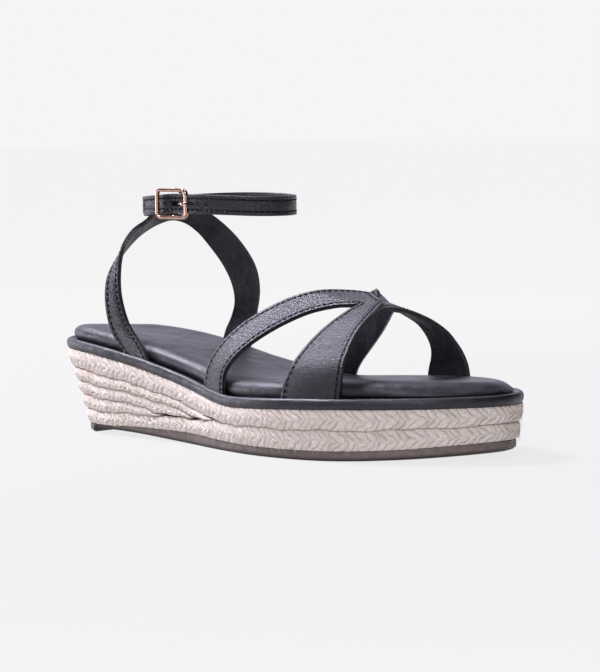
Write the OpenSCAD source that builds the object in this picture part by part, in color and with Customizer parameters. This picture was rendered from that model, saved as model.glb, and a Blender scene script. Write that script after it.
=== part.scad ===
// Wedge sandal, right foot: padded footbed on a cork wedge wrapped in jute braid,
// crossed two-armed vamp straps, heel sling and buckled ankle strap.
// Row frame in millimetres: +X to the toe, +Y to the medial side, +Z up, z = 0 on the ground,
// origin under the centre of the bounding box.

/* [Sole] */
// Height of the leather-wrapped rand under the footbed
rand_h = 4.6; // [3:0.1:6]
// How far the footbed's side wall stands in from the rand's edge
bed_inset = 3.6; // [3.4:0.1:6]
// Height of the padded footbed above the rand
bed_h = 5.2; // [4:0.1:7]
// Thickness of the footbed's leather cover
bed_skin = 1.2; // [0.8:0.1:2]
// Depth of jute braid outside the wedge core
jute_depth = 6; // [4:0.5:8]
// How far the heel's lower edge leans in from the rand
heel_lean = 13; // [6:0.5:16]

/* [Straps] */
// Thickness of the straps' outer leather
outer_t = 1.1; // [0.8:0.1:1.6]
// Thickness of the straps' lining
lining_t = 0.8; // [0.5:0.1:1.2]
// Width of the ankle strap
ankle_w = 8.2; // [6:0.1:10]
// Radius of the punched holes
hole_r = 0.8; // [0.5:0.1:1.2]
// Spacing of the punched holes
hole_pitch = 8; // [7:0.1:12]

/* [Buckle] */
// Outside length of the buckle frame, along the strap
frame_l = 19.8; // [14:0.2:24]
// Outside height of the buckle frame, across the strap
frame_w = 13; // [11.5:0.1:16]
// Width of each bar of the frame
bar_w = 1.6; // [1.2:0.1:2]
// Thickness of the frame
bar_t = 1.8; // [1.2:0.1:2.4]
// Radius of the centre bar that the prong and the tab turn on
pivot_r = 0.9; // [0.7:0.05:1.1]
// Radial clearance round the centre bar
pivot_gap = 0.06; // [0.02:0.01:0.1]
// Width of the prong
prong_w = 1.7; // [1.2:0.1:2]

/* [Hidden] */
$fn = 48;
black = [0.05, 0.05, 0.06];
jute = [0.80, 0.73, 0.66];
gold = [0.80, 0.55, 0.45];

// ---- curves ---------------------------------------------------------------
// A point at t (0 to 1) between b and c on a curve that also looks at a and d.
function cr(a, b, c, d, t) = 0.5 * ((2 * b) + (c - a) * t + (2 * a - 5 * b + 4 * c - d) * t * t
  + (3 * b - 3 * c + d - a) * t * t * t);
// Closed smooth curve through points p, k steps to a span.
function closed(p, k) = let (n = len(p)) [for (i = [0:n - 1]) for (j = [0:k - 1])
  cr(p[(i + n - 1) % n], p[i], p[(i + 1) % n], p[(i + 2) % n], j / k)];
// Open smooth curve through points p, k steps to a span.
function open(p, k) = let (n = len(p)) concat([for (i = [0:n - 2]) for (j = [0:k - 1])
  cr(i > 0 ? p[i - 1] : 2 * p[0] - p[1], p[i], p[i + 1],
    i + 2 < n ? p[i + 2] : 2 * p[n - 1] - p[n - 2], j / k)], [p[n - 1]]);
function unit(v) = v / norm(v);
function clamp01(t) = max(0, min(1, t));
function ease(t) = let (s = clamp01(t)) s * s * (3 - 2 * s);
// Outward unit normals of a closed plan curve q.
function normals(q) = let (n = len(q)) [for (i = [0:n - 1])
  let (t = unit(q[(i + 1) % n] - q[(i + n - 1) % n])) [t[1], -t[0]]];

// ---- sole outline and side view ----------------------------------------------
plan_pts = [[-125.5, 2.5], [-119, -12.5], [-102.5, -24], [-79.5, -28], [-49.5, -30],
  [-19.5, -33], [5.5, -39.5], [30.5, -44.5], [55.5, -44.5], [80.5, -38.5], [102, -27],
  [118, -11], [125.5, 7], [120.5, 22.5], [107.5, 34.5], [85.5, 42.5], [60.5, 45],
  [35.5, 41.5], [5.5, 34], [-24.5, 31], [-54.5, 33.5], [-79.5, 33.5], [-102.5, 29],
  [-118.5, 18]];
plan = closed(plan_pts, 4);
plan_n = normals(plan);
// The heel leans in: 1 at its back, 0 from the waist forward.
function heelward(x) = ease((-76.6 - x) / 53);
// Sole outline moved in by "heel" at the back of the heel and "side" elsewhere.
function outline(heel, side) = [for (i = [0:len(plan) - 1])
  let (h = heelward(plan[i][0])) plan[i] - plan_n[i] * (heel * h + side * (1 - h))];

// Side view lines, as [x, z]. "seam" is the top of the rand, where the footbed starts.
seam = open([[-130, 39.8], [-112, 40.1], [-99, 40], [-75, 37.8], [-50, 34.3], [-25, 29.9],
  [-5, 26.3], [8, 24.3], [20, 23.4], [40, 24], [75, 25.2], [105, 25.8], [130, 26.1]], 3);
row_top = [[-130, 27.5], [-100, 27.3], [-75, 25], [-50, 22], [-25, 17.8], [-5, 14.3],
  [3, 13.1], [3, 11.6]];
base_top = [[-130, 9.5], [-65, 10], [-40, 10.5], [-17, 11.1], [3, 11.6], [30, 11.6],
  [60, 12], [80, 12.5], [100, 13.2], [130, 14.8]];
sole_top = [[-130, 4], [-85, 4], [-55, 4.9], [-20, 4.9], [15, 4], [60, 4], [80, 4.4],
  [100, 5.4], [112, 6.5], [130, 8.2]];
sole_foot = [[-130, 0], [-91.5, 0], [-91.5, 2.3], [-60, 1.9], [-30, 1], [-8, 0], [60, 0],
  [80, 0.4], [100, 1.4], [112, 2.5], [130, 4.2]];
heel_1 = [[-130, 21.5], [-100, 21.8], [-75, 20.2], [-50, 17.9], [-25, 14.4], [-17, 13.3],
  [-17, 11.1]];
heel_2 = [[-130, 15.5], [-100, 16], [-75, 15.2], [-50, 13.9], [-40, 13.2], [-40, 10.5]];

function lift(line, dz) = [for (p = line) [p[0], p[1] + dz]];
function back(line) = [for (i = [len(line) - 1:-1:0]) line[i]];
function beyond(line, x) = [for (p = line) if (p[0] > x) p];
// Everything between two side view lines, across the whole width.
module band(low, high) {
  translate([0, 60, 0])
    rotate([90, 0, 0])
      linear_extrude(height = 120)
        polygon(concat(low, back(high)));
}
module prism(heel, side) {
  linear_extrude(height = 60)
    polygon(outline(heel, side));
}
module braid(heel, side, low, high) {
  intersection() {
    difference() {
      prism(heel, side);
      translate([0, 0, -1])
        linear_extrude(height = 62)
          polygon(outline(heel_lean + 3, 2.8 + jute_depth));
    }
    band(low, high);
  }
}

module outsole() {
  color([0.36, 0.30, 0.29]) {
    intersection() {
      prism(heel_lean + 0.2, 3.2);
      band(lift(sole_foot, 0.8), sole_top);
    }
    intersection() {
      prism(heel_lean + 1, 4);
      band(sole_foot, lift(sole_foot, 0.8));
    }
  }
}
module wedge_core() {
  color([0.55, 0.42, 0.30])
    intersection() {
      prism(heel_lean + 3, 2.8 + jute_depth);
      band(sole_top, lift(seam, -rand_h));
    }
}
module jute_row_top() {
  color(jute)
    braid(2.5, 1.3, concat(row_top, beyond(base_top, 3)), lift(seam, -rand_h));
}
module jute_row_base() {
  color(jute)
    braid(heel_lean - 1, 2.4, sole_top, base_top);
}
module jute_heel_row_1() {
  color(jute)
    braid(5.2, 1.6, heel_1, row_top);
}
module jute_heel_row_2() {
  color(jute)
    braid(7.5, 1.9, heel_2, heel_1);
}
module jute_heel_row_3() {
  color(jute)
    braid(9.8, 2.1, [[-130, 9.5], [-65, 10]], heel_2);
}
module rand_layer(inset, low, high) {
  intersection() {
    difference() {
      prism(inset, inset);
      translate([0, 0, -1])
        linear_extrude(height = 62)
          polygon(outline(bed_inset + 2, bed_inset + 2));
    }
    band(lift(seam, -low), lift(seam, -high));
  }
}
module rand_wrap() {
  color(black) {
    rand_layer(1, rand_h, rand_h - 0.9);
    rand_layer(0, rand_h - 0.9, 0.9);
    rand_layer(1, 0.9, 0);
  }
}
module platform_board() {
  color([0.50, 0.40, 0.30])
    intersection() {
      prism(bed_inset + 2, bed_inset + 2);
      band(lift(seam, -rand_h), seam);
    }
}
module bed_layer(inset, low, high) {
  intersection() {
    prism(inset, inset);
    band(lift(seam, low), lift(seam, high));
  }
}
module footbed_foam() {
  color([0.85, 0.80, 0.65])
    bed_layer(bed_inset + 1.2 + bed_skin, 0, bed_h - bed_skin);
}
module footbed_cover() {
  color(black)
    difference() {
      union() {
        bed_layer(bed_inset + 0.3, 0, 1.2);
        bed_layer(bed_inset, 1.2, bed_h - 1.6);
        bed_layer(bed_inset + 1, bed_h - 1.6, bed_h - 0.6);
        bed_layer(bed_inset + 2.8, bed_h - 0.6, bed_h);
      }
      bed_layer(bed_inset + 1.2 + bed_skin, -1, bed_h - bed_skin);
    }
}

// ---- strap sheets ------------------------------------------------------------
// A sheet is a grid of points g[row][column], given thickness from "lo" to "hi" along
// its normal. Cells for which gap(row, column) is true are left open.
function sheet_n(g, i, j) = let (r = len(g) - 1, c = len(g[0]) - 1)
  unit(cross(g[min(i + 1, r)][j] - g[max(i - 1, 0)][j], g[i][min(j + 1, c)] - g[i][max(j - 1, 0)]));
module sheet(g, lo, hi, split, notch) {
  nr = len(g);
  nc = len(g[0]);
  low = [for (i = [0:nr - 1]) for (j = [0:nc - 1]) g[i][j] + lo * sheet_n(g, i, j)];
  high = [for (i = [0:nr - 1]) for (j = [0:nc - 1]) g[i][j] + hi * sheet_n(g, i, j)];
  function solid(i, j) = i >= 0 && j >= 0 && i < nr - 1 && j < nc - 1
    && !(j == split && i < notch);
  function at(i, j, top) = i * nc + j + (top ? nr * nc : 0);
  cells = [for (i = [0:nr - 2]) for (j = [0:nc - 2]) if (solid(i, j)) [i, j]];
  faces = concat(
    [for (c = cells) for (f = [[0, 1, 2], [0, 2, 3]])
      let (q = [at(c[0], c[1], false), at(c[0] + 1, c[1], false),
        at(c[0] + 1, c[1] + 1, false), at(c[0], c[1] + 1, false)]) [q[f[0]], q[f[1]], q[f[2]]]],
    [for (c = cells) for (f = [[0, 2, 1], [0, 3, 2]])
      let (q = [at(c[0], c[1], true), at(c[0] + 1, c[1], true),
        at(c[0] + 1, c[1] + 1, true), at(c[0], c[1] + 1, true)]) [q[f[0]], q[f[1]], q[f[2]]]],
    [for (c = cells) for (e = [[0, 0, 0, 1, -1, 0], [1, 1, 1, 0, 1, 0], [1, 0, 0, 0, 0, -1],
      [0, 1, 1, 1, 0, 1]]) if (!solid(c[0] + e[4], c[1] + e[5]))
        let (a = at(c[0] + e[0], c[1] + e[1], false), b = at(c[0] + e[2], c[1] + e[3], false))
          for (f = [[a, b, b + nr * nc], [a, b + nr * nc, a + nr * nc]]) f]);
  polyhedron(concat(low, high), faces, convexity = 6);
}
// Straps stop at the top of the rand.
module above_rand() {
  difference() {
    children();
    band(concat([[-130, -5]], [[130, -5]]), lift(seam, 0.05));
  }
}
// Rows of a sheet through edge curves e, k steps to a span.
function rows(e, k) = let (c = [for (p = e) open(p, k)]) [for (i = [0:len(c[0]) - 1])
  [for (j = [0:len(c) - 1]) c[j][i]]];

// Curve midway between edge curves a and b, bowed by "bow" in Y where it meets the sole.
function midway(a, b, bow) = [for (i = [0:len(a) - 1])
  (a[i] + b[i]) / 2 + [0, bow * (1 - ease((i - 2) / 5)), 0]];
function with_bow(e, bow) = [e[0], e[1], e[2], midway(e[2], e[3], bow), e[3]];

// Edge curves from the base up: rear arm's rear and front edge, front arm's rear and front edge.
lateral_edges = [
  [[-2.5, -35, 22], [-2, -35, 28], [-0.5, -34.6, 34], [2.5, -33, 40], [7, -30.2, 46],
    [13.5, -26.5, 52], [20.5, -21.5, 57], [28, -15, 61.5], [36, -7, 64.1], [44.5, 2, 63.9],
    [52.5, 6.5, 62.9]],
  [[13.5, -38.9, 20], [13.2, -38.9, 26], [14, -38.7, 32], [17, -36.8, 37.5], [21.5, -33.8, 42.5],
    [27, -29.8, 47.2], [34, -24, 52.2], [41.5, -17, 56.4], [50, -10.5, 58.7], [58.7, -6.5, 59.4],
    [59.3, 3, 61.8]],
  [[51, -42.5, 20], [51.6, -42.4, 26], [53.2, -41.6, 32], [55.2, -39.6, 37.5], [57, -36, 42.6],
    [58.6, -31.2, 47.5], [59.8, -25.4, 51.8], [60.6, -19, 55.3], [60.6, -12.5, 57.9],
    [60.3, -6.5, 59.4], [60.8, 2.3, 61.5]],
  [[78, -36.9, 21], [78.6, -36.7, 27], [79.4, -36.3, 33], [79.3, -34.8, 38.8], [78.6, -31.4, 43.6],
    [77.4, -27.2, 48], [76, -22, 51.8], [74.4, -16, 54.9], [72.5, -10.5, 57.1], [70, -5.5, 58.9],
    [68.4, -1.5, 59.8]]];
medial_edges = [
  [[1, 31, 20], [2, 31.1, 27], [5, 30.3, 34], [10.5, 28.4, 41], [17, 25.8, 47.5],
    [24.5, 22.8, 53.2], [32, 19.4, 57.8], [39, 16.2, 61], [45, 13.9, 63.1], [49.2, 12, 64.4],
    [53, 8.6, 61.7], [53.8, 3, 60.3]],
  [[13.5, 33.7, 20], [15.2, 33.8, 26.5], [20, 32, 31.5], [27, 29.5, 36.5], [34, 26.9, 41.2],
    [40.5, 24.1, 45.4], [46.5, 21.2, 49.5], [51.5, 18.6, 53], [55.8, 15.8, 55.9],
    [57.6, 10.5, 58.5], [58.7, 5.3, 59.2], [58.8, -0.5, 58.6]],
  [[49.5, 42, 20], [50.2, 41.7, 27], [52.2, 40.6, 32], [54.8, 38.9, 35.6], [56.8, 37, 39.2],
    [57.9, 34.6, 42.8], [58.5, 31.2, 46.8], [58.6, 26.3, 51], [57.9, 17.8, 55.6],
    [59.2, 10.7, 58.2], [60.3, 4.8, 58.9], [60.4, -1, 58.4]],
  [[72.8, 42, 20], [72.9, 41.8, 27.5], [72.9, 40.6, 33], [72.5, 38.2, 38], [71.9, 35.3, 42],
    [70.6, 32.4, 46], [68.6, 29, 49.3], [66.2, 25.4, 52], [63.6, 19.8, 54.7], [64, 11.8, 56.6],
    [66, 4, 57.4], [66, -2.2, 57.1]]];
// Front or upper edge and rear or lower edge of the sling, lateral side to medial side.
sling_edges = [
  [[-45, -27.8, 29], [-47.8, -27.7, 35.5], [-53.5, -27.3, 42], [-59, -27.5, 48], [-62, -28, 55],
    [-63.7, -28.2, 62], [-64.7, -27.6, 69], [-65.6, -26, 76], [-66.2, -23, 82.5],
    [-67.2, -17, 87.8], [-67.3, -9.1, 91.8], [-69.1, -1.5, 96.6], [-71.8, 8, 99], [-71, 16.3, 98.6],
    [-64.8, 21.9, 94.6], [-60.6, 29.6, 88], [-54.6, 33.9, 80], [-48.4, 35.6, 70.5],
    [-45.8, 35.4, 60.5], [-46.4, 34, 50.5], [-47.6, 32, 41.5], [-47.5, 30.7, 35], [-47, 30.7, 29]],
  [[-60, -26.8, 31], [-63.2, -26.9, 37], [-68, -27.5, 42], [-71, -28.3, 48.5], [-72.4, -28.6, 55.5],
    [-73, -28.2, 62.5], [-73.3, -26.3, 68.5], [-74, -21.6, 74], [-73.4, -16, 80],
    [-73.2, -9.8, 84.8], [-73.4, -2.9, 88.2], [-73.8, 3.8, 90.2], [-74, 10, 91], [-73.1, 16.6, 89.6],
    [-70.8, 22, 85.8], [-68, 26.6, 79.4], [-62.5, 29, 71.6], [-57.6, 29.8, 63.5],
    [-56, 30.2, 56], [-58.4, 30.6, 49], [-62.5, 30.8, 42.5], [-65, 31.2, 36.5], [-65.5, 31.2, 30]]];

module vamp_lateral_leather() {
  color(black)
    above_rand()
      sheet(rows(with_bow(lateral_edges, -0.9), 3), -outer_t, 0, 1, 27);
}
module vamp_lateral_lining() {
  color(black)
    above_rand()
      sheet(rows(with_bow(lateral_edges, -0.9), 3), 0, lining_t, 1, 27);
}
module vamp_medial_leather() {
  color(black)
    above_rand()
      sheet(rows(with_bow(medial_edges, 0.9), 3), 0, outer_t, 1, 24);
}
module vamp_medial_lining() {
  color(black)
    above_rand()
      sheet(rows(with_bow(medial_edges, 0.9), 3), -lining_t, 0, 1, 24);
}
module sling_leather() {
  color(black)
    above_rand()
      sheet(rows(sling_edges, 2), 0, outer_t, -1, 0);
}
module sling_lining() {
  color(black)
    above_rand()
      sheet(rows(sling_edges, 2), -lining_t, 0, -1, 0);
}

// ---- ankle strap and buckle ----------------------------------------------------
// Centre line of the strap, from the buckle tab round the heel, the medial side and the
// front to the buckle again, ending in the free tip that lies over its own start.
ankle_pts = [[-43.1, -13.6, 99.4], [-50, -13.6, 99.1], [-59.5, -12.6, 98.5], [-68.8, -8.9, 97.7],
  [-75.2, -1.6, 97.2], [-76.7, 8.5, 97.2], [-74.6, 17.5, 97.6], [-66, 24.9, 98.2],
  [-53, 28.6, 98.6], [-38, 29.5, 98.7], [-22, 27.4, 98.5], [-8.5, 21.9, 98.2],
  [-1.4, 13.8, 98.1], [0.4, 5, 98.1], [-4.2, -4, 98.3], [-13.5, -10.9, 98.8],
  [-26.5, -15.2, 99.2], [-40.5, -16.5, 99.4], [-49.5, -16.4, 99.2], [-57.5, -15.6, 98.9],
  [-63.5, -14.1, 98.5]];
ankle_line = open(ankle_pts, 3);
ankle_last = len(ankle_line) - 1;
// The free end narrows slightly.
function half_w(i) = ankle_w / 2 - 0.5 * ease((i - ankle_last + 8) / 8);
ankle_rows = [for (i = [0:ankle_last]) [for (s = [1, -1]) ankle_line[i] + [0, 0, s * half_w(i)]]];
buckle_x = -40.5;
buckle_y = -16.5;
buckle_z = 99.4;
strap_t = outer_t + lining_t;
// The centre bar's axis lies this far inside the strap's centre line.
pivot_in = strap_t / 2 + 0.15 + 0.8 + pivot_r + 0.1;
module hole(x, y, z, turn) {
  translate([x, y, z])
    rotate([90, 0, turn])
      cylinder(r = hole_r, h = 3, center = true);
}
module strap_holes() {
  hole(buckle_x + 2.2 - hole_pitch, buckle_y, buckle_z - 0.1, -2);
  hole(buckle_x + 2.2 + hole_pitch, buckle_y + 0.7, buckle_z - 0.1, 8);
  hole(buckle_x + 2.2 + 2 * hole_pitch, buckle_y + 2.3, buckle_z - 0.3, 15);
  translate([buckle_x + 1.2, buckle_y, buckle_z])
    cube([4.6, 3, 2.2], center = true);
  for (s = [-1, 1])
    hole_end(s);
}
// Rounded ends of the slot the prong goes through.
module hole_end(s) {
  translate([buckle_x + 1.2 + s * 2.3, buckle_y, buckle_z])
    rotate([90, 0, 0])
      cylinder(r = 1.1, h = 3, center = true);
}
module ankle_strap_leather() {
  color(black)
    difference() {
      sheet(ankle_rows, lining_t - strap_t / 2, strap_t / 2, -1, 0);
      strap_holes();
    }
}
module ankle_strap_lining() {
  color(black)
    difference() {
      sheet(ankle_rows, -strap_t / 2, lining_t - strap_t / 2, -1, 0);
      strap_holes();
    }
}
// Local buckle space: x along the strap to the toe, y outward, z across the strap,
// with the centre bar's axis at the origin.
module at_buckle() {
  translate([buckle_x, buckle_y + pivot_in, buckle_z])
    mirror([0, 1, 0])
      children();
}
// A bar of rectangular outline with rounded corners, lying in x and z.
module rounded(l, w, r) {
  square([l - 2 * r, w], center = true);
  square([l, w - 2 * r], center = true);
  for (i = [-1, 1])
    for (j = [-1, 1])
      translate([i * (l / 2 - r), j * (w / 2 - r)])
        circle(r = r);
}
module buckle_tab() {
  fold_r = pivot_r + 0.15;
  color(black)
    at_buckle()
      difference() {
        union() {
          cylinder(r = fold_r + 0.8, h = ankle_w - 0.6, center = true);
          translate([-4.5, 0, 0])
            cube([9, 2 * fold_r + 1.6, ankle_w - 0.6], center = true);
        }
        cylinder(r = fold_r, h = 20, center = true);
        translate([-8, 0, 0])
          cube([16, 2 * fold_r, 20], center = true);
        translate([1.2, 0, 0])
          cube([9, 8, prong_w + 0.9], center = true);
      }
}
module buckle_frame() {
  face = pivot_in + strap_t / 2 + 0.25;
  color(gold)
    at_buckle() {
      translate([0, face + bar_t / 2, 0])
        rotate([90, 0, 0])
          linear_extrude(height = bar_t, center = true)
            difference() {
              rounded(frame_l, frame_w, 2.2);
              rounded(frame_l - 2 * bar_w, frame_w - 2 * bar_w, 0.9);
            }
      for (s = [-1, 1])
        translate([-1.2, -pivot_r, s * (frame_w - bar_w) / 2 - bar_w / 2])
          cube([2.4, face + pivot_r + 0.2, bar_w]);
      cylinder(r = pivot_r, h = frame_w - bar_w, center = true);
    }
}
module buckle_prong() {
  top = pivot_in + strap_t / 2;
  color(gold)
    at_buckle()
      difference() {
        linear_extrude(height = prong_w, center = true)
          union() {
            circle(r = pivot_r + pivot_gap + 0.75);
            polygon([[0.9, -0.9], [1.5, 0.3], [3.4, top - 0.6], [4.3, top + 0.25],
              [6.3, top + 0.7], [8, top + bar_t + 0.4], [10.6, top + bar_t + 0.4],
              [10.9, top + bar_t + 0.9], [10.6, top + bar_t + 1.5], [7.6, top + bar_t + 1.5],
              [5.8, top + 1.8], [3.7, top + 1.35], [2.5, top + 0.3], [-0.2, 1.2]]);
          }
        cylinder(r = pivot_r + pivot_gap, h = 10, center = true);
      }
}

outsole();
wedge_core();
jute_row_top();
jute_row_base();
jute_heel_row_1();
jute_heel_row_2();
jute_heel_row_3();
rand_wrap();
platform_board();
footbed_foam();
footbed_cover();
vamp_lateral_leather();
vamp_lateral_lining();
vamp_medial_leather();
vamp_medial_lining();
sling_leather();
sling_lining();
ankle_strap_leather();
ankle_strap_lining();
buckle_tab();
buckle_frame();
buckle_prong();
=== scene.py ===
# %% [markdown]
# # A wedge sandal, built in cells
# The sandal is a right shoe of black leather on a platform wrapped in plaited jute.
# The imported CAD model is the fixed frame: it says where everything is and how it moves.
# We load it first.

import bpy
import numpy as np
from mathutils import Matrix, Vector


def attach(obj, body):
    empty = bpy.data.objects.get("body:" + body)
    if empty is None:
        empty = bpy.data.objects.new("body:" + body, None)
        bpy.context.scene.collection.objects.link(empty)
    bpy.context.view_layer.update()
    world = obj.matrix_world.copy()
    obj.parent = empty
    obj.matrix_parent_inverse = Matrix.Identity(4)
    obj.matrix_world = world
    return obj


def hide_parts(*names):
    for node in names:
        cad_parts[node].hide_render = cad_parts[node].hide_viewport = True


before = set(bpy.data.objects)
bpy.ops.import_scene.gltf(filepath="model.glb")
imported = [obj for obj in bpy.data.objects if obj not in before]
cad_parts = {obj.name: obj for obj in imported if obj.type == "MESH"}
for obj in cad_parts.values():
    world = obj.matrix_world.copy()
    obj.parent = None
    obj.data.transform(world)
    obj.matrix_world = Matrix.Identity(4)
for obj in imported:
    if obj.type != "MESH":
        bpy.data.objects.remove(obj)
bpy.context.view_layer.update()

MM = 0.001

# %% [markdown]
# Every outline here is drawn as a few points with a smooth curve through them.
# A Catmull-Rom curve passes through its points, so a point can be read off the shoe itself.
# The maths is done for all spans at once, as arrays.

# %% Smooth curves
def smooth(points, steps, closed=False):
    """Catmull-Rom curve: between two points it is the cubic whose slope at each point is
    half the step between that point's neighbours."""
    p = np.asarray(points, float)
    if closed:
        q, spans = np.concatenate([p[-1:], p, p[:2]]), len(p)
    else:
        q, spans = np.concatenate([2 * p[:1] - p[1:2], p, 2 * p[-1:] - p[-2:-1]]), len(p) - 1
    t = np.linspace(0, 1, steps, endpoint=False)[None, :, None]
    a, b, c, d = (q[k : k + spans][:, None] for k in range(4))
    curve = 0.5 * (2 * b + (c - a) * t + (2 * a - 5 * b + 4 * c - d) * t**2
                   + (3 * b - 3 * c + d - a) * t**3)
    curve = curve.reshape(-1, p.shape[1])
    return curve if closed else np.concatenate([curve, p[-1:]])


def evenly(curve, count, closed=False):
    """The same curve as count points at equal distances along it."""
    c = np.concatenate([curve, curve[:1]]) if closed else curve
    run = np.concatenate([[0], np.cumsum(np.linalg.norm(np.diff(c, axis=0), axis=1))])
    at = np.linspace(0, run[-1], count, endpoint=not closed)
    return np.stack([np.interp(at, run, c[:, k]) for k in range(c.shape[1])], 1), run[-1]


def height_line(points):
    """A side view line as a function: give x, get z."""
    c = smooth(points, 8)
    return lambda x: np.interp(x, c[:, 0], c[:, 1])


def ease(t):
    """0 before t = 0 and 1 after t = 1, with a gentle S between them."""
    t = np.clip(t, 0, 1)
    return t * t * (3 - 2 * t)


def unit(v):
    return v / np.maximum(np.linalg.norm(v, axis=-1, keepdims=True), 1e-12)


# %% [markdown]
# Shapes are grids of points, so one helper turns a grid into a mesh. It closes the grid
# round either way, caps open ends with a point, and turns the faces outwards by checking
# that the enclosed volume is positive. Extra numbers per point, such as the distance to
# the strap's edge, are stored as attributes that the materials can read.

# %% Grid to mesh
def make_object(name, verts, faces, facts=None, smooth_shade=True):
    """Object with its place in its mesh; verts are millimetres. Faces point outwards."""
    v = np.asarray(verts, float) * MM
    tris = np.array([(f[0], f[k], f[k + 1]) for f in faces for k in range(1, len(f) - 1)])
    volume = np.einsum("ij,ij->i", v[tris[:, 0]], np.cross(v[tris[:, 1]], v[tris[:, 2]])).sum() / 6
    if volume < 0:
        faces = [tuple(reversed(f)) for f in faces]
    mesh = bpy.data.meshes.new(name)
    mesh.from_pydata(v.tolist(), [], faces)
    for key, values in (facts or {}).items():
        values = np.asarray(values, np.float32)
        kind = "FLOAT" if values.ndim == 1 else "FLOAT_VECTOR"
        layer = mesh.attributes.new(key, kind, "POINT")
        layer.data.foreach_set("value" if kind == "FLOAT" else "vector", values.ravel())
    mesh.polygons.foreach_set("use_smooth", [smooth_shade] * len(mesh.polygons))
    obj = bpy.data.objects.new(name, mesh)
    bpy.context.scene.collection.objects.link(obj)
    print(f"{name}: {len(v)} points, {len(tris)} triangles, {abs(volume) * 1e9:.0f} mm3")
    return obj


def grid_faces(ni, nj, wrap_i, wrap_j):
    """Quads of an ni by nj grid, row by row."""
    i, j = np.meshgrid(np.arange(ni if wrap_i else ni - 1), np.arange(nj if wrap_j else nj - 1),
                       indexing="ij")
    a, b = i * nj + j, (i + 1) % ni * nj + j
    c, d = (i + 1) % ni * nj + (j + 1) % nj, i * nj + (j + 1) % nj
    return np.stack([a, b, c, d], -1).reshape(-1, 4)


def tube(name, grid, closed_path=False, facts=None):
    """A closed section carried along a path. Open ends are closed with a fan round a point."""
    ni, nj = grid.shape[:2]
    faces = [tuple(f) for f in grid_faces(ni, nj, closed_path, True).tolist()]
    verts = grid.reshape(-1, 3)
    facts = {k: np.asarray(v).reshape((ni * nj,) + np.shape(v)[2:]) for k, v in (facts or {}).items()}
    if not closed_path:
        verts = np.concatenate([verts, grid[:1].mean(1), grid[-1:].mean(1)])
        facts = {k: np.concatenate([v, v[:1], v[-1:]]) for k, v in facts.items()}
        a, b = ni * nj, ni * nj + 1
        faces += [(a, j, (j + 1) % nj) for j in range(nj)]
        faces += [(b, (ni - 1) * nj + (j + 1) % nj, (ni - 1) * nj + j) for j in range(nj)]
    return make_object(name, verts, faces, facts)


# %% [markdown]
# Wherever a finish varies over a surface it is written as shader arithmetic. A small class
# wraps a socket so that `1 - mask * 0.3` adds the Math nodes by itself. Values that are the
# same all over stay on the shader's own sockets.

# %% Shader arithmetic
class Wire:
    """A shader output that can be added, multiplied and so on."""

    def __init__(self, finish, socket):
        self.finish, self.socket = finish, socket

    def _math(self, operation, a, b):
        return self.finish.add("ShaderNodeMath", {"operation": operation}, {0: a, 1: b})

    def __add__(self, o): return self._math("ADD", self, o)
    def __radd__(self, o): return self._math("ADD", o, self)
    def __sub__(self, o): return self._math("SUBTRACT", self, o)
    def __rsub__(self, o): return self._math("SUBTRACT", o, self)
    def __mul__(self, o): return self._math("MULTIPLY", self, o)
    def __rmul__(self, o): return self._math("MULTIPLY", o, self)
    def __truediv__(self, o): return self._math("DIVIDE", self, o)
    def __pow__(self, o): return self._math("POWER", self, o)


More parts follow.
